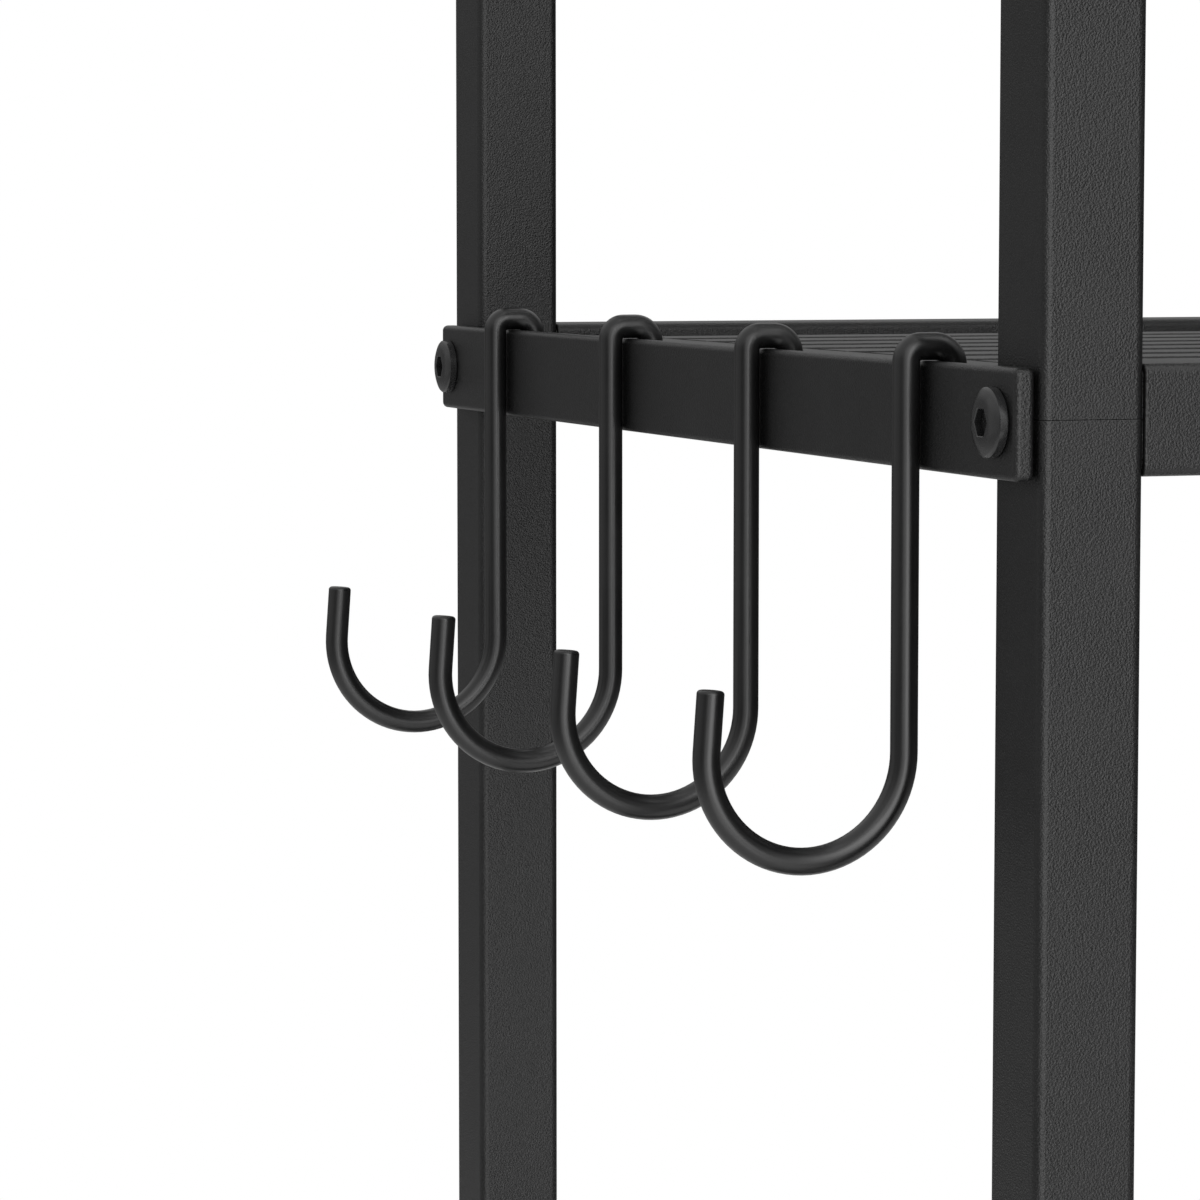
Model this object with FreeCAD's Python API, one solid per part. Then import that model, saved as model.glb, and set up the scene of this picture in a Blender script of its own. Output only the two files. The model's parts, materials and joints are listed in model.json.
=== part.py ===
import FreeCAD, Part
import os
from math import cos, radians, sin

# Steel hall tree with four slatted levels: shoe shelf, bench, hat shelf and top shelf.
# Four square posts come apart at the bench and at the hat shelf. A flat bar bolted to
# the left posts at hat-shelf height carries four J hooks that slide along it.
# Millimetres. X runs left to right, Y front to back and Z up. The origin is on the
# floor in the middle of the overall box, hooks and bolt heads included.

# Whole rack
HEIGHT = 1800.0
WIDTH = 800.0
DEPTH = 425.0
SHOE_SHELF_LEVEL = 140.0
BENCH_LEVEL = 460.0
HAT_SHELF_LEVEL = 1450.0

# Square tube of the posts and of the front and rear rails
TUBE = 25.0
TUBE_WALL = 1.2
TUBE_CORNER = 2.3
POST_JOINT_RISE = 0.4
POST_TOP_ROUND = 0.4
RAIL_END_ROUND = 0.5

# Shelf deck
SIDE_RAIL = 20.0
DECK_DROP = 3.5
SLAT_COUNT = 10
SLAT_WIDTH = 20.0
SLAT_THICKNESS = 10.0
SLAT_WALL = 1.0
SLAT_CORNER = 0.8
SLAT_PITCH = 35.0

# Bolts, one through each post into the end of each rail
BOLT_RADIUS = 4.0
BOLT_HOLE_RADIUS = 4.3
BOLT_LENGTH = 40.0
BOLT_HEAD_RADIUS = 7.85
BOLT_HEAD_RIM = 2.4
BOLT_HEAD_THICKNESS = 3.5
BOLT_CROWN_RADIUS = 3.9
BOLT_DOME_BULGE = 0.2
BOLT_DROP = 0.5
HEX_ACROSS_FLATS = 6.0
HEX_DEPTH = 2.0
NUT_BLOCK = 22.0
NUT_LENGTH = 15.0
THREAD_RELIEF = 0.05

# Sleeves inside the posts where their sections meet
SLEEVE = 22.0
SLEEVE_WALL = 1.5
SLEEVE_LENGTH = 80.0

# Hook bar
BAR_THICKNESS = 5.0
BAR_HEIGHT = 25.0
BAR_LENGTH = 419.0
BAR_SETBACK = 1.8
BAR_DROP = 0.7
BAR_EDGE_ROUND = 1.5
BAR_CORNER = 1.7
WASHER_THICKNESS = 0.6
WASHER_RADIUS = 7.0

# J hooks of round wire, and how far each hangs from the front of the rack
HOOK_PLACES = (54.0, 154.5, 256.3, 357.3)
HOOK_WIRE_RADIUS = 3.2
HOOK_CLEARANCE = 0.15
HOOK_THROAT = 5.3
HOOK_OUTER_BEND = 3.6
HOOK_INNER_BEND = 4.6
HOOK_INNER_LEG = 24.0
HOOK_SHANK = 93.2
HOOK_RADIUS = 24.3
HOOK_TIP = 14.2
HOOK_TIP_LEAN = 4.0
HOOK_END_ROUND = 0.9

# Caps and levelling feet
CAP_FLANGE = 2.0
CAP_PLUG = 8.0
CAP_ROUND = 0.8
PLUG = 22.2
FOOT_PAD_RADIUS = 11.0
FOOT_PAD_HEIGHT = 8.0
FOOT_PAD_ROUND = 1.5
FOOT_GAP = 0.4
FOOT_STUD_RADIUS = 4.0
FOOT_STUD_LENGTH = 45.0
FOOT_STUD_SEAT = 4.0
FOOT_STUD_CHAMFER = 0.4
FOOT_HOLE_RADIUS = 4.4
FOOT_INSERT_DEPTH = 18.0

# Wall brackets under the rear rail of the top shelf
BRACKET_WIDTH = 20.0
BRACKET_LEG = 30.0
BRACKET_THICKNESS = 2.0
BRACKET_INSET = 60.0
BRACKET_HOLE_RADIUS = 2.75
BRACKET_HOLE_DROP = 20.0
SCREW_RADIUS = 2.0
SCREW_LENGTH = 10.0
SCREW_HEAD_RADIUS = 4.0
SCREW_HEAD_HEIGHT = 2.4

# Places worked out from the sizes above
BAR_OUTSIDE = WASHER_THICKNESS + BAR_THICKNESS
SHANK_OFFSET = BAR_OUTSIDE + HOOK_CLEARANCE + HOOK_WIRE_RADIUS
HOOK_REACH = SHANK_OFFSET + 2 * HOOK_RADIUS + HOOK_WIRE_RADIUS
OVERALL_WIDTH = HOOK_REACH + WIDTH + BOLT_HEAD_THICKNESS
LEFT = HOOK_REACH - OVERALL_WIDTH / 2
RIGHT = LEFT + WIDTH
FRONT = -DEPTH / 2
REAR = DEPTH / 2
POST_BOTTOM = FOOT_PAD_HEIGHT + FOOT_GAP + CAP_FLANGE
POST_TOP = HEIGHT - CAP_FLANGE
TOP_SHELF_LEVEL = POST_TOP - TUBE / 2
LEVELS = {
    "shoe_shelf": SHOE_SHELF_LEVEL,
    "bench": BENCH_LEVEL,
    "hat_shelf": HAT_SHELF_LEVEL,
    "top_shelf": TOP_SHELF_LEVEL,
}
BENCH_JOINT = BENCH_LEVEL + POST_JOINT_RISE
HAT_SHELF_JOINT = HAT_SHELF_LEVEL + POST_JOINT_RISE
POST_SECTIONS = {
    "lower": (POST_BOTTOM, BENCH_JOINT),
    "middle": (BENCH_JOINT, HAT_SHELF_JOINT),
    "upper": (HAT_SHELF_JOINT, POST_TOP),
}
POST_X = {"left": LEFT + TUBE / 2, "right": RIGHT - TUBE / 2}
POST_Y = {"front": FRONT + TUBE / 2, "rear": REAR - TUBE / 2}
CORNERS = [(end, side) for end in POST_Y for side in POST_X]

X_AXIS = FreeCAD.Vector(1, 0, 0)
Y_AXIS = FreeCAD.Vector(0, 1, 0)
Z_AXIS = FreeCAD.Vector(0, 0, 1)
ORIGIN = FreeCAD.Vector(0, 0, 0)


def at(shape, x, y, z):
    """Copy of a shape moved to a place."""
    moved = shape.copy()
    moved.translate(FreeCAD.Vector(x, y, z))
    return moved


def turned(shape, axis, degrees):
    """Copy of a shape turned about an axis through the origin."""
    copy = shape.copy()
    copy.rotate(ORIGIN, axis, degrees)
    return copy


def save(name, *solids):
    """Write one node, as one solid or as a group of separate solids."""
    shape = solids[0] if len(solids) == 1 else Part.makeCompound(list(solids))
    shape.exportStep("parts/" + name + ".step")


def prism(size_x, size_y, corner, length):
    """Upright block with rounded upright edges, centred on Z, standing on Z = 0."""
    block = Part.makeBox(size_x, size_y, length, FreeCAD.Vector(-size_x / 2, -size_y / 2, 0))
    upright = [edge for edge in block.Edges if abs(edge.tangentAt(edge.FirstParameter).z) > 0.5]
    return block.makeFillet(corner, upright)


def end_edges(shape, z):
    """Edges of a shape that lie flat at one height."""
    return [edge for edge in shape.Edges
            if abs(edge.BoundBox.ZMin - z) < 1e-6 and abs(edge.BoundBox.ZMax - z) < 1e-6]


def hollow(outer, size_x, size_y, wall, corner, length):
    """Tube made by boring a solid block of one size right through, along Z."""
    inner_corner = max(corner - wall, wall / 2)
    return outer.cut(prism(size_x - 2 * wall, size_y - 2 * wall, inner_corner, length))


def tube(size_x, size_y, wall, corner, length):
    """Rectangular tube with square-cut ends, along Z from Z = 0."""
    return hollow(prism(size_x, size_y, corner, length), size_x, size_y, wall, corner, length)


def along_x(shape):
    """Turn a shape that runs up from the origin so that it runs towards +X."""
    return turned(shape, Y_AXIS, 90)


def along_y(shape):
    """Turn a shape that runs up from the origin so that it runs towards +Y."""
    return turned(shape, X_AXIS, -90)


def bolt_hole(x, y, z):
    """Cutter for a bolt's hole right through one post, along X."""
    start = FreeCAD.Vector(x - TUBE, y, z - BOLT_DROP)
    return Part.makeCylinder(BOLT_HOLE_RADIUS, 2 * TUBE, start, X_AXIS)


def post_section(end, side, bottom, top):
    """One length of post, with a bolt hole at each level that it reaches."""
    length = top - bottom
    blank = prism(TUBE, TUBE, TUBE_CORNER, length)
    blank = blank.makeFillet(POST_TOP_ROUND, end_edges(blank, length))
    section = hollow(blank, TUBE, TUBE, TUBE_WALL, TUBE_CORNER, length)
    section = at(section, POST_X[side], POST_Y[end], bottom)
    for level in LEVELS.values():
        section = section.cut(bolt_hole(POST_X[side], POST_Y[end], level))
    return section


def post_sleeve(end, side, level):
    """Square sleeve inside a post, half above and half below a level where sections meet."""
    sleeve = tube(SLEEVE, SLEEVE, SLEEVE_WALL, TUBE_CORNER - TUBE_WALL, SLEEVE_LENGTH)
    sleeve = at(sleeve, POST_X[side], POST_Y[end], level - SLEEVE_LENGTH / 2)
    return sleeve.cut(bolt_hole(POST_X[side], POST_Y[end], level))


def long_rail(end, level):
    """Front or rear rail of a shelf, between the left and right posts."""
    length = WIDTH - 2 * TUBE
    blank = prism(TUBE, TUBE, TUBE_CORNER, length)
    blank = blank.makeFillet(RAIL_END_ROUND, end_edges(blank, 0) + end_edges(blank, length))
    rail = hollow(blank, TUBE, TUBE, TUBE_WALL, TUBE_CORNER, length)
    return at(along_x(rail), LEFT + TUBE, POST_Y[end], level)


def side_rail(side, level):
    """Side rail of a shelf, welded between its front and rear rails."""
    rail = tube(SIDE_RAIL, SIDE_RAIL, TUBE_WALL, TUBE_CORNER, DEPTH - 2 * TUBE)
    inset = TUBE + SIDE_RAIL / 2
    x = LEFT + inset if side == "left" else RIGHT - inset
    z = level + TUBE / 2 - DECK_DROP - SIDE_RAIL / 2
    return at(along_y(rail), x, FRONT + TUBE, z)


def slats(level):
    """Slats of a shelf, welded between its side rails and level with their tops."""
    start = TUBE + SIDE_RAIL
    slat = tube(SLAT_THICKNESS, SLAT_WIDTH, SLAT_WALL, SLAT_CORNER, WIDTH - 2 * start)
    z = level + TUBE / 2 - DECK_DROP - SLAT_THICKNESS / 2
    first = -(SLAT_COUNT - 1) / 2 * SLAT_PITCH
    return [at(along_x(slat), LEFT + start, first + SLAT_PITCH * number, z)
            for number in range(SLAT_COUNT)]


def rail_nut(end, side, level):
    """Threaded block welded into one end of a front or rear rail."""
    block = along_x(prism(NUT_BLOCK, NUT_BLOCK, TUBE_CORNER - TUBE_WALL, NUT_LENGTH))
    thread = Part.makeCylinder(BOLT_RADIUS + THREAD_RELIEF, NUT_LENGTH,
                               FreeCAD.Vector(0, 0, -BOLT_DROP), X_AXIS)
    x = LEFT + TUBE if side == "left" else RIGHT - TUBE - NUT_LENGTH
    return at(block.cut(thread), x, POST_Y[end], level)


def hexagon(across_flats):
    """Hexagon on the YZ plane with a flat at the top and one at the bottom."""
    corner = across_flats / (2 * cos(radians(30)))
    points = [FreeCAD.Vector(0, corner * cos(radians(60 * n)), corner * sin(radians(60 * n)))
              for n in range(7)]
    return Part.Face(Part.makePolygon(points))


def bolt_head():
    """Head with an upright rim, a low dome, and a flat crown around a hexagon socket."""
    rim = FreeCAD.Vector(-BOLT_HEAD_RIM, BOLT_HEAD_RADIUS, 0)
    crown = FreeCAD.Vector(-BOLT_HEAD_THICKNESS, BOLT_CROWN_RADIUS, 0)
    dome = Part.Arc(rim, (rim + crown) / 2 + FreeCAD.Vector(-BOLT_DOME_BULGE, 0, 0), crown).toShape()
    below = Part.makePolygon([ORIGIN, FreeCAD.Vector(0, BOLT_HEAD_RADIUS, 0), rim])
    above = Part.makePolygon([crown, FreeCAD.Vector(-BOLT_HEAD_THICKNESS, 0, 0), ORIGIN])
    outline = Part.Face(Part.Wire(below.Edges + [dome] + above.Edges))
    socket = hexagon(HEX_ACROSS_FLATS).extrude(FreeCAD.Vector(HEX_DEPTH, 0, 0))
    return outline.revolve(ORIGIN, X_AXIS, 360).cut(at(socket, -BOLT_HEAD_THICKNESS, 0, 0))


def bolt(length):
    """Socket bolt along +X, with the underside of its head at X = 0."""
    shank = Part.makeCylinder(BOLT_RADIUS, length, ORIGIN, X_AXIS)
    return bolt_head().fuse(shank).removeSplitter()


def shelf_bolt(end, side, level):
    """Bolt through a post into a rail, its head against the outside of the post."""
    piece = bolt(BOLT_LENGTH)
    if side == "right":
        piece = turned(piece, Z_AXIS, 180)
    x = LEFT if side == "left" else RIGHT
    return at(piece, x, POST_Y[end], level - BOLT_DROP)


def hook_bar_bolt(end):
    """Longer bolt that also goes through the hook bar and its washer."""
    piece = bolt(BOLT_LENGTH + BAR_OUTSIDE)
    return at(piece, LEFT - BAR_OUTSIDE, POST_Y[end], HAT_SHELF_LEVEL - BOLT_DROP)


def hook_bar():
    """Flat bar outside the left posts, with rounded edges and corners."""
    blank = prism(BAR_HEIGHT, BAR_LENGTH, BAR_CORNER, BAR_THICKNESS)
    blank = blank.makeFillet(BAR_EDGE_ROUND, end_edges(blank, 0) + end_edges(blank, BAR_THICKNESS))
    bar = turned(blank, Y_AXIS, -90)
    middle = FRONT + BAR_SETBACK + BAR_LENGTH / 2
    bar = at(bar, LEFT - WASHER_THICKNESS, middle, HAT_SHELF_LEVEL - BAR_DROP)
    for y in POST_Y.values():
        bar = bar.cut(bolt_hole(LEFT, y, HAT_SHELF_LEVEL))
    return bar


def hook_bar_washer(end):
    """Thin washer between the hook bar and a post."""
    start = FreeCAD.Vector(LEFT - WASHER_THICKNESS, POST_Y[end], HAT_SHELF_LEVEL - BOLT_DROP)
    disc = Part.makeCylinder(WASHER_RADIUS, WASHER_THICKNESS, start, X_AXIS)
    return disc.cut(bolt_hole(LEFT, POST_Y[end], HAT_SHELF_LEVEL))


def quarter_bend(centre_x, centre_z, radius, first, last):
    """Arc on the XZ plane between two angles in degrees, counted from +X towards +Z."""
    points = [FreeCAD.Vector(centre_x + radius * cos(radians(angle)), 0,
                             centre_z + radius * sin(radians(angle)))
              for angle in (first, (first + last) / 2, last)]
    return Part.Arc(*points).toShape()


def run(edge_before, edge_after):
    """Straight run from the end of one bend to the start of the next."""
    return Part.LineSegment(edge_before.lastVertex().Point, edge_after.firstVertex().Point).toShape()


def hook_path():
    """Centre line of a hook: over the bar, down its shank, round and up to its tip.

    X = 0 is the outer face of the posts and Z = 0 the top edge of the hook bar.
    """
    shank_x = -SHANK_OFFSET
    inner_x = shank_x + HOOK_THROAT + 2 * HOOK_WIRE_RADIUS
    crown_z = HOOK_CLEARANCE + HOOK_WIRE_RADIUS
    inner_bend = quarter_bend(inner_x - HOOK_INNER_BEND, crown_z - HOOK_INNER_BEND,
                              HOOK_INNER_BEND, 0, 90)
    outer_bend = quarter_bend(shank_x + HOOK_OUTER_BEND, crown_z - HOOK_OUTER_BEND,
                              HOOK_OUTER_BEND, 90, 180)
    round_z = crown_z - HOOK_SHANK
    bowl = quarter_bend(shank_x - HOOK_RADIUS, round_z, HOOK_RADIUS, 0, -180 - HOOK_TIP_LEAN)
    inner_end = FreeCAD.Vector(inner_x, 0, crown_z - HOOK_INNER_LEG)
    tip_start = bowl.lastVertex().Point
    lean = radians(HOOK_TIP_LEAN)
    tip_end = tip_start + FreeCAD.Vector(HOOK_TIP * sin(lean), 0, HOOK_TIP * cos(lean))
    inner_leg = Part.LineSegment(inner_end, inner_bend.firstVertex().Point).toShape()
    tip = Part.LineSegment(tip_start, tip_end).toShape()
    bends = [inner_leg, inner_bend, run(inner_bend, outer_bend), outer_bend,
             run(outer_bend, bowl), bowl, tip]
    return Part.Wire(bends), inner_end, tip_end


def hook():
    """One J hook of round wire, with both cut ends rounded off."""
    path, inner_end, tip_end = hook_path()
    ring = Part.Wire(Part.makeCircle(HOOK_WIRE_RADIUS, inner_end, Z_AXIS))
    solid = path.makePipeShell([ring], True, True)
    ends = [edge for edge in solid.Edges if edge.isClosed()
            and min((edge.BoundBox.Center - point).Length for point in (inner_end, tip_end)) < 0.01]
    return solid.makeFillet(HOOK_END_ROUND, ends)


def square_plug(flange_z, plug_z, plug_length, open_edge_z):
    """Square flange as wide as the tube with a plug that goes inside it."""
    flange = at(prism(TUBE, TUBE, TUBE_CORNER, CAP_FLANGE), 0, 0, flange_z)
    flange = flange.makeFillet(CAP_ROUND, end_edges(flange, open_edge_z))
    plug = at(prism(PLUG, PLUG, TUBE_CORNER - TUBE_WALL, plug_length), 0, 0, plug_z)
    return flange.fuse(plug).removeSplitter()


def post_cap(end, side):
    """Cap pressed into the top of a post."""
    cap = square_plug(0, -CAP_PLUG, CAP_PLUG, CAP_FLANGE)
    return at(cap, POST_X[side], POST_Y[end], POST_TOP)


def foot_insert(end, side):
    """Threaded insert pressed into the bottom of a post."""
    insert = square_plug(-CAP_FLANGE, 0, FOOT_INSERT_DEPTH, -CAP_FLANGE)
    hole = Part.makeCylinder(FOOT_HOLE_RADIUS, FOOT_INSERT_DEPTH + CAP_FLANGE,
                             FreeCAD.Vector(0, 0, -CAP_FLANGE))
    return at(insert.cut(hole), POST_X[side], POST_Y[end], POST_BOTTOM)


def foot_pad(end, side):
    """Round pad of a levelling foot, with a seat for the stud."""
    pad = Part.makeCylinder(FOOT_PAD_RADIUS, FOOT_PAD_HEIGHT)
    pad = pad.makeFillet(FOOT_PAD_ROUND, end_edges(pad, FOOT_PAD_HEIGHT))
    seat = Part.makeCylinder(FOOT_STUD_RADIUS + THREAD_RELIEF, FOOT_PAD_HEIGHT - FOOT_STUD_SEAT,
                             FreeCAD.Vector(0, 0, FOOT_STUD_SEAT))
    return at(pad.cut(seat), POST_X[side], POST_Y[end], 0)


def foot_stud(end, side):
    """Threaded stud that screws the pad up and down."""
    stud = Part.makeCylinder(FOOT_STUD_RADIUS, FOOT_STUD_LENGTH)
    stud = stud.makeChamfer(FOOT_STUD_CHAMFER, end_edges(stud, FOOT_STUD_LENGTH))
    return at(stud, POST_X[side], POST_Y[end], FOOT_STUD_SEAT)


def bracket_x(side):
    """Middle of a wall bracket along X."""
    return LEFT + TUBE + BRACKET_INSET if side == "left" else RIGHT - TUBE - BRACKET_INSET


def wall_bracket(side):
    """Angle bracket under the top rear rail, with a hole for a wall screw."""
    top = TOP_SHELF_LEVEL - TUBE / 2
    left = bracket_x(side) - BRACKET_WIDTH / 2
    flat = Part.makeBox(BRACKET_WIDTH, TUBE, BRACKET_THICKNESS,
                        FreeCAD.Vector(left, REAR - TUBE, top - BRACKET_THICKNESS))
    upright = Part.makeBox(BRACKET_WIDTH, BRACKET_THICKNESS, BRACKET_LEG,
                           FreeCAD.Vector(left, REAR - BRACKET_THICKNESS, top - BRACKET_LEG))
    wall_hole = Part.makeCylinder(BRACKET_HOLE_RADIUS, BRACKET_THICKNESS,
                                  FreeCAD.Vector(bracket_x(side), REAR - BRACKET_THICKNESS,
                                                 top - BRACKET_HOLE_DROP), Y_AXIS)
    return flat.fuse(upright).removeSplitter().cut(wall_hole).cut(screw_pilot(side))


def screw_pilot(side):
    """Cutter for a bracket screw's hole through the bracket and into the rail."""
    start = FreeCAD.Vector(bracket_x(side), POST_Y["rear"], TOP_SHELF_LEVEL - TUBE)
    return Part.makeCylinder(SCREW_RADIUS + THREAD_RELIEF, TUBE, start)


def bracket_screw(side):
    """Pan-head screw that holds a wall bracket up against the rail."""
    head = Part.makeCylinder(SCREW_HEAD_RADIUS, SCREW_HEAD_HEIGHT,
                             FreeCAD.Vector(0, 0, -SCREW_HEAD_HEIGHT))
    head = head.makeFillet(CAP_ROUND, end_edges(head, -SCREW_HEAD_HEIGHT))
    screw = head.fuse(Part.makeCylinder(SCREW_RADIUS, SCREW_LENGTH)).removeSplitter()
    z = TOP_SHELF_LEVEL - TUBE / 2 - BRACKET_THICKNESS
    return at(screw, bracket_x(side), POST_Y["rear"], z)


def write_posts():
    """Posts, the sleeves that join their sections, caps and foot inserts."""
    for end, side in CORNERS:
        for section, (bottom, top) in POST_SECTIONS.items():
            save(end + "_" + side + "_post_" + section, post_section(end, side, bottom, top))
    for name in ("bench", "hat_shelf"):
        save(name + "_post_sleeves", *[post_sleeve(end, side, LEVELS[name]) for end, side in CORNERS])
    save("post_caps", *[post_cap(end, side) for end, side in CORNERS])
    save("foot_inserts", *[foot_insert(end, side) for end, side in CORNERS])


def write_shelves():
    """Rails and slats of the four levels, with their nuts and bolts."""
    for name, level in LEVELS.items():
        for end in POST_Y:
            rail = long_rail(end, level)
            if (name, end) == ("top_shelf", "rear"):
                rail = rail.cut(Part.makeCompound([screw_pilot(side) for side in POST_X]))
            save(name + "_" + end + "_rail", rail)
        for side in POST_X:
            save(name + "_" + side + "_rail", side_rail(side, level))
        save(name + "_slats", *slats(level))
    places = [(end, side, level) for end, side in CORNERS for level in LEVELS.values()]
    save("rail_nuts", *[rail_nut(*place) for place in places])
    plain = [place for place in places if place[1:] != ("left", HAT_SHELF_LEVEL)]
    save("shelf_bolts", *[shelf_bolt(*place) for place in plain])


def write_hook_bar():
    """Hook bar with its bolts and washers, and the hooks that hang over it."""
    save("hook_bar", hook_bar())
    save("hook_bar_bolts", *[hook_bar_bolt(end) for end in POST_Y])
    save("hook_bar_washers", *[hook_bar_washer(end) for end in POST_Y])
    wire = hook()
    bar_top = HAT_SHELF_LEVEL - BAR_DROP + BAR_HEIGHT / 2
    for number, place in enumerate(HOOK_PLACES, start=1):
        save("hook_" + str(number), at(wire, LEFT, FRONT + place, bar_top))


def write_feet_and_brackets():
    """Levelling feet, and the brackets that hold the rack to a wall."""
    for end, side in CORNERS:
        save("foot_pad_" + end + "_" + side, foot_pad(end, side))
        save("foot_stud_" + end + "_" + side, foot_stud(end, side))
    for side in POST_X:
        save("wall_bracket_" + side, wall_bracket(side))
    save("wall_bracket_screws", *[bracket_screw(side) for side in POST_X])


os.makedirs("parts", exist_ok=True)
write_posts()
write_shelves()
write_hook_bar()
write_feet_and_brackets()
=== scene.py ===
import json
from math import cos, pi, radians, sin

import bmesh
import bpy
from mathutils import Matrix, Vector


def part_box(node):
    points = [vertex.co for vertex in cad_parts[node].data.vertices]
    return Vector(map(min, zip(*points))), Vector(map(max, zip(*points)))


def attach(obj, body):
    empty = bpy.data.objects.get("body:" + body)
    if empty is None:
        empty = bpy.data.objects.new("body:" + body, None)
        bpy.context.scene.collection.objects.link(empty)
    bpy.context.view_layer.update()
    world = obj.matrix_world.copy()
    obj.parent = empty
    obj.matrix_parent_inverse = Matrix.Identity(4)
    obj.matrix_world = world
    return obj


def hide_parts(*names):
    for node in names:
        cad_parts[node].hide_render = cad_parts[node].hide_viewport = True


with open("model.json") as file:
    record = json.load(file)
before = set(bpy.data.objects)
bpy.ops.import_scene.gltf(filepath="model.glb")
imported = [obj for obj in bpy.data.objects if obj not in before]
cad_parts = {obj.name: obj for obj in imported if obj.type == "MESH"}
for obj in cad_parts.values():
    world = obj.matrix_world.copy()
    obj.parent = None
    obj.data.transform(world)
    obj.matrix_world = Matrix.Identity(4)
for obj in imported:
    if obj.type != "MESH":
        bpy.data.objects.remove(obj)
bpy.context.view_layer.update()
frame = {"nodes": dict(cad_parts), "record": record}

# The looks of a black steel hall tree: powder-coated square tube and hook bar, smooth-coated
# sliding hooks, nylon caps and feet. Metres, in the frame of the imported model.

SIDES = ("left", "right")
ENDS = ("front", "rear")
SHELVES = ("shoe_shelf", "bench", "hat_shelf", "top_shelf")

# Camera, from the outer corner of the front left post at hat-shelf height
CAMERA_OFFSET = Vector((-0.41319, -0.88565, 0.04393))
CAMERA_HEADING = 19.357
CAMERA_PITCH = 4.868
CAMERA_LENS = 133.9
SENSOR_WIDTH = 36.0

# Where a noise's values mostly lie, from 0 to 1
NOISE_LOW = 0.3
NOISE_HIGH = 0.7

# Nearest and furthest the camera sees
CLIP_NEAR = 0.05
CLIP_FAR = 50.0

# Studio: the room that reflects in the paint, and the soft panels in it
BACKDROP_WHITE = 1.0
HORIZON_LEFT = 0.24
HORIZON_RIGHT = 0.03
OVERHEAD_GLOW = 0.95
UNDERSIDE_SHARE = 0.55
GLOW_START = 0.12
GLOW_FULL = 0.55
FLOOR_RADIUS = 3.0
FLOOR_ROUND = 128
# name: azimuth from the front towards the right, elevation, distance, width, height, brightness
PANELS = {
    "key": (3.0, 8.0, 3.0, 1.7, 2.9, 2.8),
    "wrap": (-9.0, 14.0, 3.0, 3.8, 4.3, 1.1),
    "crown": (60.0, 66.0, 2.0, 1.6, 1.6, 1.2),
    "low": (-14.0, -30.0, 2.2, 1.8, 1.2, 1.0),
    "left_fill": (-108.0, 4.0, 3.0, 3.6, 1.8, 0.28),
}

# Bolts: how far they sit below the middle of the rails, and their shape
BOLT_DROP = 0.0005
BOLT_RADIUS = 0.004
BOLT_LENGTH = 0.040
BOLT_NECK = 0.0005
HEAD_RADIUS = 0.00785
HEAD_RIM = 0.0024
HEAD_THICKNESS = 0.0035
HEAD_EDGE = 0.0003
CROWN_RADIUS = 0.0039
DOME_BULGE = 0.0002
DOME_STEPS = 8
SOCKET_FLATS = 0.006
SOCKET_DEPTH = 0.002
SOCKET_BEVEL = 0.0002
DRILL_POINT = 0.0005

# Threads, each as pitch and depth: bolts and studs, then bracket screws
COARSE_THREAD = (0.00125, 0.0006)
SCREW_THREAD = (0.0014, 0.00045)

# Levelling feet. The edges are shares of the pad's radius, and the collar's heights are
# shares of its height.
PAD_BEVEL = 0.0006
PAD_RIM = 0.0034
PAD_RECESS_CENTRE = 0.2
PAD_RECESS_EDGE = 0.8
PAD_CONTACT_EDGE = 0.83
COLLAR_FOOT_HEIGHT = 0.6
COLLAR_WALL_HEIGHT = 0.7
PAD_FLUTES = 24
PAD_ROUND = 144
FLUTE_DEPTH = 0.0004
COLLAR_RADIUS = 0.0066
STUD_WELL_RADIUS = 0.00415
STUD_SEAT = 0.004

# Bracket screws
SCREW_HEAD_RADIUS = 0.004
SCREW_HEAD_HEIGHT = 0.0024
SCREW_RIM_SHARE = 0.35
RECESS_TAPER = 6
SCREW_FLAT_RADIUS = 0.0025
SCREW_RADIUS = 0.002
SCREW_LENGTH = 0.010
RECESS_ARM = 0.0019
RECESS_WAIST = 0.0007
RECESS_DEPTH = 0.0014

# Weld beads
SLATS_PER_SHELF = 10
SLAT_WIDTH = 0.020
BEAD_RADIUS = 0.0015
BEAD_SINK = 0.00045
BEAD_INSET = 0.003
BEAD_STEP = 0.0011
BEAD_RIPPLE = 0.08
BEAD_RINGS_PER_STEP = 3
BEAD_END = 0.1
BEAD_FULLNESS = 0.35

# Points around a ring, rings to a turn of thread, and the angle that stays a sharp edge
ROUND = 64
THREAD_ROUND = 20
THREAD_STEPS = 5
BEAD_ROUND = 10
SHARP_ANGLE = 32


def middle(node):
    """Middle of a node's box."""
    low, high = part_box(node)
    return (Vector(low) + Vector(high)) / 2


def subject():
    """Outer corner of the front left post, level with the middle of the hat-shelf rails."""
    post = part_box("front_left_post_middle")[0]
    return Vector((post[0], post[1], middle("hat_shelf_front_rail").z))


# Shader helpers

def link(tree, source, socket):
    tree.links.new(source, socket)


def noise(tree, scale, detail, stretch=None):
    """Noise in the object's own coordinates, from 0 to 1."""
    place = tree.nodes.new("ShaderNodeTexCoord").outputs["Object"]
    if stretch:
        mapping = tree.nodes.new("ShaderNodeMapping")
        mapping.inputs["Scale"].default_value = stretch
        link(tree, place, mapping.inputs["Vector"])
        place = mapping.outputs["Vector"]
    texture = tree.nodes.new("ShaderNodeTexNoise")
    texture.inputs["Scale"].default_value = scale
    texture.inputs["Detail"].default_value = detail
    link(tree, place, texture.inputs["Vector"])
    return texture.outputs["Fac"]


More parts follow.
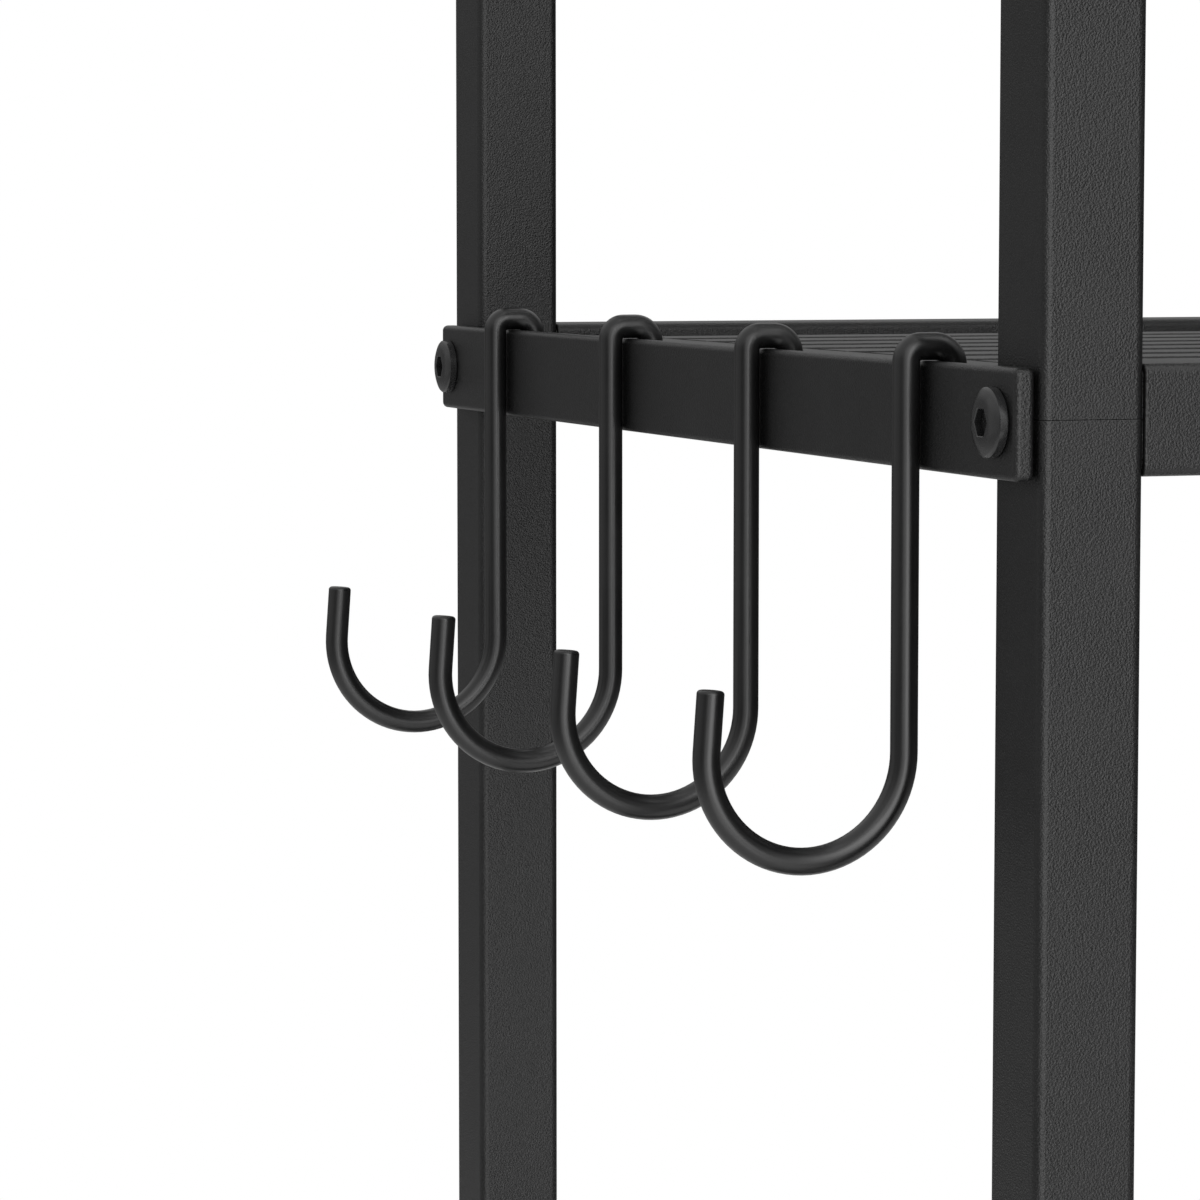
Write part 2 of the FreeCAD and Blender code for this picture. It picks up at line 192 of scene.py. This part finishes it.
def spread(tree, value, low, high, start=NOISE_LOW, end=NOISE_HIGH):
    """The part of a value from start to end, mapped to low to high."""
    node = tree.nodes.new("ShaderNodeMapRange")
    node.inputs["From Min"].default_value = start
    node.inputs["From Max"].default_value = end
    node.inputs["To Min"].default_value = low
    node.inputs["To Max"].default_value = high
    link(tree, value, node.inputs["Value"])
    return node.outputs["Result"]


def tone(tree, value, dark, light):
    """Colour between two tones, by a value from 0 to 1."""
    mix = tree.nodes.new("ShaderNodeMix")
    mix.data_type = "RGBA"
    mix.inputs["A"].default_value = (*dark, 1.0)
    mix.inputs["B"].default_value = (*light, 1.0)
    link(tree, value, mix.inputs["Factor"])
    return mix.outputs["Result"]


def bump(tree, height, distance):
    """Bump of a height in metres."""
    node = tree.nodes.new("ShaderNodeBump")
    node.inputs["Strength"].default_value = 1.0
    node.inputs["Distance"].default_value = distance
    link(tree, height, node.inputs["Height"])
    return node.outputs["Normal"]


def material(name):
    """New node material, with its tree and its main shader."""
    made = bpy.data.materials.new(name)
    made.use_nodes = True
    return made, made.node_tree, made.node_tree.nodes["Principled BSDF"]


def coat(name, dark, light, mottle, fine, gloss_from, roughness, depth, stretch=None, fixed=()):
    """Finish with a mottled colour, and bump and gloss from noise.

    mottle and fine are each a noise's scale and detail. gloss_from says which of the two the
    roughness follows, depth is the fine noise's bump in metres, stretch is the fine noise's
    own scale along each axis, and fixed pairs a socket with a value that is the same all over.
    """
    made, tree, shader = material(name)
    noises = {"mottle": noise(tree, *mottle), "fine": noise(tree, *fine, stretch=stretch)}
    colour = tone(tree, spread(tree, noises["mottle"], 0.0, 1.0), dark, light)
    link(tree, colour, shader.inputs["Base Color"])
    link(tree, spread(tree, noises[gloss_from], *roughness), shader.inputs["Roughness"])
    link(tree, bump(tree, noises["fine"], depth), shader.inputs["Normal"])
    for socket, value in fixed:
        shader.inputs[socket].default_value = value
    return made


def pale_floor():
    """Pale seamless paper floor."""
    made, tree, shader = material("pale_floor")
    cloud = noise(tree, 3.0, 4.0)
    colour = tone(tree, spread(tree, cloud, 0.0, 1.0), (0.78, 0.78, 0.78), (0.82, 0.82, 0.815))
    link(tree, colour, shader.inputs["Base Color"])
    shader.inputs["Roughness"].default_value = 0.9
    return made


# Matt orange peel, satin wire coat, turned bolts, drawn zinc plate and moulded nylon
FINISHES = {
    "black_powder_coat": coat(
        "black_powder_coat",
        dark=(0.0025, 0.0025, 0.0026),
        light=(0.0045, 0.0045, 0.0046),
        mottle=(45.0, 3.0),
        fine=(2100.0, 2.0),
        gloss_from="mottle",
        roughness=(0.34, 0.40),
        depth=0.0002,
        fixed=[("Specular IOR Level", 0.4)],
    ),
    "smooth_black_coat": coat(
        "smooth_black_coat",
        dark=(0.0025, 0.0025, 0.0026),
        light=(0.004, 0.004, 0.0041),
        mottle=(60.0, 3.0),
        fine=(700.0, 1.0),
        gloss_from="mottle",
        roughness=(0.28, 0.33),
        depth=0.000004,
    ),
    "black_bolts": coat(
        "black_bolts",
        dark=(0.009, 0.009, 0.0093),
        light=(0.014, 0.014, 0.0143),
        mottle=(90.0, 3.0),
        fine=(2600.0, 2.0),
        gloss_from="fine",
        roughness=(0.20, 0.28),
        depth=0.000006,
    ),
    "zinc_steel": coat(
        "zinc_steel",
        dark=(0.50, 0.52, 0.56),
        light=(0.62, 0.61, 0.57),
        mottle=(120.0, 4.0),
        fine=(300.0, 3.0),
        gloss_from="fine",
        roughness=(0.25, 0.42),
        depth=0.00001,
        stretch=(1.0, 1.0, 14.0),
        fixed=[("Metallic", 1.0)],
    ),
    "black_plastic": coat(
        "black_plastic",
        dark=(0.012, 0.012, 0.0125),
        light=(0.018, 0.018, 0.0185),
        mottle=(70.0, 3.0),
        fine=(3200.0, 2.0),
        gloss_from="fine",
        roughness=(0.5, 0.62),
        depth=0.00002,
    ),
}


def finish_frame():
    """Give every CAD node the finish of its material slot."""
    for part in frame["record"]["subparts"]:
        node = frame["nodes"][part["node"]]
        for material_slot in node.material_slots:
            material_slot.material = FINISHES[part["material_slot"]]


# Mesh pieces

def skin(shape, rings):
    """Join rings of points, each with as many as the next, into one closed skin."""
    rows = [[shape.verts.new(point) for point in ring] for ring in rings]
    count = len(rows[0])
    for lower, upper in zip(rows, rows[1:]):
        for i in range(count):
            j = (i + 1) % count
            shape.faces.new((lower[i], lower[j], upper[j], upper[i]))
    shape.faces.new(reversed(rows[0]))
    shape.faces.new(rows[-1])


def outline(reach, z, count=ROUND):
    """Ring of points about Z, with its radius given for each angle."""
    angles = [2 * pi * i / count for i in range(count)]
    return [Vector((reach(angle) * cos(angle), reach(angle) * sin(angle), z)) for angle in angles]


def circle(radius, z, count=ROUND):
    """Ring of points on a circle about Z."""
    return outline(lambda angle: radius, z, count)


def hexagon(half_width, z):
    """Ring of points on a hexagon about Z, from half its width across flats."""
    sixth = pi / 3
    return outline(lambda angle: half_width / cos((angle + sixth / 2) % sixth - sixth / 2), z)


def cross(arm, waist, z):
    """Ring of points on a cross with four rounded arms."""
    return outline(lambda angle: waist + (arm - waist) * cos(2 * angle) ** RECESS_TAPER, z)


def threaded(radius, thread, low, high, count=THREAD_ROUND):
    """Rings of a threaded rod about Z, with the thread run out at both ends."""
    pitch, depth = thread
    steps = round((high - low) / pitch * THREAD_STEPS)
    rings = []
    for step in range(steps + 1):
        z = low + (high - low) * step / steps
        fullness = min(1.0, (high - z) / pitch, (z - low) / pitch)

        def reach(angle):
            along = (z / pitch - angle / (2 * pi)) % 1.0
            groove = 1 - abs(2 * along - 1)
            return radius - depth * (1 - fullness + groove * fullness)

        rings.append(outline(reach, z, count))
    return rings


def place_copy(target, shape, matrix):
    """Add a copy of one bmesh to another, moved by a matrix."""
    mesh = bpy.data.meshes.new("copy")
    shape.to_mesh(mesh)
    mesh.transform(matrix)
    target.from_mesh(mesh)
    bpy.data.meshes.remove(mesh)


def add_piece(name, shape, slot_name, body, *replaced):
    """Finished object from a bmesh: shaded, coated with its slot's finish and on its body."""
    bmesh.ops.recalc_face_normals(shape, faces=shape.faces)
    mesh = bpy.data.meshes.new(name)
    shape.to_mesh(mesh)
    shape.free()
    mesh.materials.append(FINISHES[slot_name])
    mesh.shade_smooth()
    mesh.set_sharp_from_angle(angle=radians(SHARP_ANGLE))
    piece = bpy.data.objects.new(name, mesh)
    bpy.context.scene.collection.objects.link(piece)
    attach(piece, body)
    if replaced:
        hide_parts(*replaced)


def head_rings():
    """Rings of a domed bolt head, from its underside at Z = 0 up and into its socket."""
    rings = [circle(BOLT_RADIUS, 0.0), circle(HEAD_RADIUS - HEAD_EDGE, 0.0)]
    rings += [circle(HEAD_RADIUS, HEAD_EDGE), circle(HEAD_RADIUS, HEAD_RIM - HEAD_EDGE)]
    rim = HEAD_RADIUS - HEAD_EDGE
    for step in range(DOME_STEPS + 1):
        along = step / DOME_STEPS
        z = HEAD_RIM + (HEAD_THICKNESS - HEAD_RIM) * along + DOME_BULGE * sin(pi * along)
        rings.append(circle(rim + (CROWN_RADIUS - rim) * along, z))
    half = SOCKET_FLATS / 2
    floor = HEAD_THICKNESS - SOCKET_DEPTH
    rings.append(hexagon(half + SOCKET_BEVEL, HEAD_THICKNESS))
    rings.append(hexagon(half, HEAD_THICKNESS - SOCKET_BEVEL))
    rings.append(hexagon(half, floor))
    rings.append(circle(DRILL_POINT, floor - DRILL_POINT))
    return rings


def bolt(length):
    """Bolt along Z, its head up and the underside of the head at Z = 0."""
    shape = bmesh.new()
    skin(shape, head_rings())
    skin(shape, threaded(BOLT_RADIUS, COARSE_THREAD, -length, BOLT_NECK))
    return shape


def pointing(side):
    """Matrix that lays +Z outwards along X on one side of the rack."""
    return Matrix.Rotation(pi / 2 if side == "right" else -pi / 2, 4, "Y")


def add_bolts():
    """Bolts through the posts, with the longer ones through the hook bar."""
    plain = bmesh.new()
    through_bar = bmesh.new()
    left_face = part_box("front_left_post_middle")[0][0]
    bar_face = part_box("hook_bar")[0][0]
    faces = {"left": left_face, "right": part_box("front_right_post_middle")[1][0]}
    short = bolt(BOLT_LENGTH)
    long = bolt(BOLT_LENGTH + left_face - bar_face)
    for end in ENDS:
        y = middle(end + "_left_post_middle").y
        for shelf in SHELVES:
            z = middle(shelf + "_front_rail").z - BOLT_DROP
            for side in SIDES:
                on_bar = (shelf, side) == ("hat_shelf", "left")
                x = bar_face if on_bar else faces[side]
                place = Matrix.Translation((x, y, z)) @ pointing(side)
                place_copy(through_bar if on_bar else plain, long if on_bar else short, place)
    short.free()
    long.free()
    add_piece("shelf_bolts_threaded", plain, "black_bolts", "rack", "shelf_bolts")
    add_piece("hook_bar_bolts_threaded", through_bar, "black_bolts", "rack", "hook_bar_bolts")


def fluted(radius, z):
    """Ring of points on the fluted rim of a foot pad."""
    def reach(angle):
        return radius - FLUTE_DEPTH * max(0.0, cos(PAD_FLUTES * angle))

    return outline(reach, z, PAD_ROUND)


def foot_pad(height, radius):
    """Moulded pad with a fluted rim and a round collar around its stud, standing on Z = 0."""
    outside = [
        (radius * PAD_RECESS_CENTRE, PAD_BEVEL),
        (radius * PAD_RECESS_EDGE, PAD_BEVEL),
        (radius * PAD_CONTACT_EDGE, 0.0),
        (radius - PAD_BEVEL - FLUTE_DEPTH, 0.0),
    ]
    inside = [
        (radius - 2 * PAD_BEVEL, PAD_RIM + PAD_BEVEL),
        (COLLAR_RADIUS + 2 * PAD_BEVEL, height * COLLAR_FOOT_HEIGHT),
        (COLLAR_RADIUS, height * COLLAR_WALL_HEIGHT),
        (COLLAR_RADIUS, height - PAD_BEVEL),
        (COLLAR_RADIUS - PAD_BEVEL, height),
        (STUD_WELL_RADIUS + PAD_BEVEL, height),
        (STUD_WELL_RADIUS, height - PAD_BEVEL),
        (STUD_WELL_RADIUS, STUD_SEAT),
    ]
    rings = [circle(reach, z, PAD_ROUND) for reach, z in outside]
    rings += [fluted(radius, PAD_BEVEL), fluted(radius, PAD_RIM)]
    rings += [circle(reach, z, PAD_ROUND) for reach, z in inside]
    shape = bmesh.new()
    skin(shape, rings)
    return shape


def add_foot(place):
    """Moulded pad and threaded stud of one levelling foot."""
    node = "foot_pad_" + place
    low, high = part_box(node)
    centre = middle(node)
    pad = foot_pad(high[2] - low[2], (high[0] - low[0]) / 2)
    pad.transform(Matrix.Translation((centre.x, centre.y, low[2])))
    add_piece(node + "_moulded", pad, "black_plastic", "foot_" + place, node)
    node = "foot_stud_" + place
    low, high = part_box(node)
    stud = bmesh.new()
    skin(stud, threaded(BOLT_RADIUS, COARSE_THREAD, low[2], high[2]))
    stud.transform(Matrix.Translation((centre.x, centre.y, 0.0)))
    add_piece(node + "_threaded", stud, "zinc_steel", "foot_" + place, node)


def bracket_screw():
    """Pan-head screw with a cross recess, its head down and its thread up from Z = 0."""
    rings = [circle(SCREW_RADIUS, 0.0), circle(SCREW_HEAD_RADIUS, 0.0)]
    for step in range(DOME_STEPS + 1):
        turn = pi / 2 * step / DOME_STEPS
        reach = SCREW_FLAT_RADIUS + (SCREW_HEAD_RADIUS - SCREW_FLAT_RADIUS) * cos(turn)
        rise = SCREW_RIM_SHARE + (1 - SCREW_RIM_SHARE) * sin(turn)
        rings.append(circle(reach, -SCREW_HEAD_HEIGHT * rise))
    rings.append(cross(RECESS_ARM, RECESS_WAIST, -SCREW_HEAD_HEIGHT))
    rings.append(cross(RECESS_ARM / 2, RECESS_WAIST / 2, RECESS_DEPTH - SCREW_HEAD_HEIGHT))
    shape = bmesh.new()
    skin(shape, rings)
    skin(shape, threaded(SCREW_RADIUS, SCREW_THREAD, -BOLT_NECK, SCREW_LENGTH))
    return shape


def add_bracket_screws():
    """Screws that hold the two wall brackets under the top rear rail."""
    screws = bmesh.new()
    screw = bracket_screw()
    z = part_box("wall_bracket_screws")[0][2] + SCREW_HEAD_HEIGHT
    for side in SIDES:
        place = (middle("wall_bracket_" + side).x, middle("top_shelf_rear_rail").y, z)
        place_copy(screws, screw, Matrix.Translation(place))
    screw.free()
    add_piece("wall_bracket_screws_threaded", screws, "zinc_steel", "rack", "wall_bracket_screws")


def add_bead(shape, start, run):
    """Rippled weld bead from a place, as long as a run."""
    across = run.orthogonal().normalized()
    other = run.normalized().cross(across)
    steps = round(run.length / BEAD_STEP) * BEAD_RINGS_PER_STEP
    rings = []
    for step in range(steps + 1):
        along = step / steps
        taper = max(BEAD_END, sin(pi * along)) ** BEAD_FULLNESS
        ripple = 1 + BEAD_RIPPLE * cos(2 * pi * run.length * along / BEAD_STEP)
        radius = BEAD_RADIUS * taper * ripple
        rings.append([start + run * along + across * point.x + other * point.y
                      for point in circle(radius, 0.0, BEAD_ROUND)])
    skin(shape, rings)


def add_slat_welds(shape, shelf):
    """Beads under the ends of the slats, where they meet the side rails."""
    low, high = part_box(shelf + "_slats")
    pitch = (high[1] - low[1] - SLAT_WIDTH) / (SLATS_PER_SHELF - 1)
    run = Vector((0.0, SLAT_WIDTH - 2 * BEAD_INSET, 0.0))
    for number in range(SLATS_PER_SHELF):
        y = low[1] + pitch * number + BEAD_INSET
        for x in (low[0] + BEAD_SINK, high[0] - BEAD_SINK):
            add_bead(shape, Vector((x, y, low[2] - BEAD_SINK)), run)


def add_corner_welds(shape, shelf, side):
    """Beads at both ends of a side rail, under it and up its inner face."""
    low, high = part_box(shelf + "_" + side + "_rail")
    inner_x = high[0] + BEAD_SINK if side == "left" else low[0] - BEAD_SINK
    under = Vector((high[0] - low[0] - 2 * BEAD_INSET, 0.0, 0.0))
    upright = Vector((0.0, 0.0, (high[2] - low[2]) / 2))
    for y in (low[1] + BEAD_SINK, high[1] - BEAD_SINK):
        add_bead(shape, Vector((low[0] + BEAD_INSET, y, low[2] - BEAD_SINK)), under)
        add_bead(shape, Vector((inner_x, y, low[2] + BEAD_INSET)), upright)


def add_welds():
    """Weld beads of every shelf."""
    for shelf in SHELVES:
        shape = bmesh.new()
        add_slat_welds(shape, shelf)
        for side in SIDES:
            add_corner_welds(shape, shelf, side)
        add_piece(shelf + "_welds", shape, "black_powder_coat", "rack")


# Studio

def add_camera():
    """Camera with the photograph's view of the hat-shelf corner."""
    data = bpy.data.cameras.new("camera")
    data.lens = CAMERA_LENS
    data.sensor_width = SENSOR_WIDTH
    data.clip_start = CLIP_NEAR
    data.clip_end = CLIP_FAR
    camera = bpy.data.objects.new("camera", data)
    camera.location = subject() + CAMERA_OFFSET
    camera.rotation_euler = (radians(90 - CAMERA_PITCH), 0, radians(-CAMERA_HEADING))
    bpy.context.scene.collection.objects.link(camera)
    bpy.context.scene.camera = camera


def add_room():
    """White backdrop, with a dimmer room in reflections: darkest along the horizon."""
    world = bpy.data.worlds.new("studio")
    world.use_nodes = True
    tree = world.node_tree
    room = tree.nodes["Background"]
    direction = tree.nodes.new("ShaderNodeTexCoord").outputs["Generated"]
    split = tree.nodes.new("ShaderNodeSeparateXYZ")
    link(tree, direction, split.inputs["Vector"])
    rise = tree.nodes.new("ShaderNodeMath")
    above = spread(tree, split.outputs["Z"], 0.0, 1.0, GLOW_START, GLOW_FULL)
    below = spread(tree, split.outputs["Z"], UNDERSIDE_SHARE, 0.0, -GLOW_FULL, -GLOW_START)
    link(tree, above, rise.inputs[0])
    link(tree, below, rise.inputs[1])
    glow = tree.nodes.new("ShaderNodeMix")
    glow.inputs["B"].default_value = OVERHEAD_GLOW
    link(tree, rise.outputs["Value"], glow.inputs["Factor"])
    horizon = spread(tree, split.outputs["X"], HORIZON_LEFT, HORIZON_RIGHT, -1.0, 1.0)
    link(tree, horizon, glow.inputs["A"])
    link(tree, glow.outputs["Result"], room.inputs["Strength"])
    backdrop = tree.nodes.new("ShaderNodeBackground")
    backdrop.inputs["Strength"].default_value = BACKDROP_WHITE
    seen = tree.nodes.new("ShaderNodeLightPath").outputs["Is Camera Ray"]
    mix = tree.nodes.new("ShaderNodeMixShader")
    link(tree, seen, mix.inputs["Fac"])
    link(tree, room.outputs["Background"], mix.inputs[1])
    link(tree, backdrop.outputs["Background"], mix.inputs[2])
    for background in (room, backdrop):
        background.inputs["Color"].default_value = (1.0, 1.0, 1.0, 1.0)
    link(tree, mix.outputs["Shader"], tree.nodes["World Output"].inputs["Surface"])
    bpy.context.scene.world = world


def add_panel(name, azimuth, elevation, distance, width, height, brightness):
    """Soft panel that faces the hat-shelf corner from one direction."""
    data = bpy.data.lights.new(name, "AREA")
    data.shape = "RECTANGLE"
    data.size = width
    data.size_y = height
    data.energy = brightness * pi * width * height
    panel = bpy.data.objects.new(name, data)
    across = radians(azimuth)
    up = radians(elevation)
    direction = Vector((sin(across) * cos(up), -cos(across) * cos(up), sin(up)))
    panel.location = subject() + direction * distance
    panel.rotation_euler = direction.to_track_quat("Z", "Y").to_euler()
    panel.visible_camera = False
    bpy.context.scene.collection.objects.link(panel)


def add_floor():
    """Round pale floor, small enough to stay out of the main view."""
    mesh = bpy.data.meshes.new("floor")
    shape = bmesh.new()
    bmesh.ops.create_circle(shape, cap_ends=True, radius=FLOOR_RADIUS, segments=FLOOR_ROUND)
    shape.to_mesh(mesh)
    shape.free()
    floor = bpy.data.objects.new("floor", mesh)
    floor.location = (0.0, 0.0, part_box("foot_pad_front_left")[0][2])
    mesh.materials.append(pale_floor())
    bpy.context.scene.collection.objects.link(floor)


bpy.context.scene.view_settings.view_transform = "Standard"
finish_frame()
add_bolts()
for foot_end in ENDS:
    for foot_side in SIDES:
        add_foot(foot_end + "_" + foot_side)
add_bracket_screws()
add_welds()
add_camera()
add_room()
for panel_name, panel_form in PANELS.items():
    add_panel(panel_name, *panel_form)
add_floor()
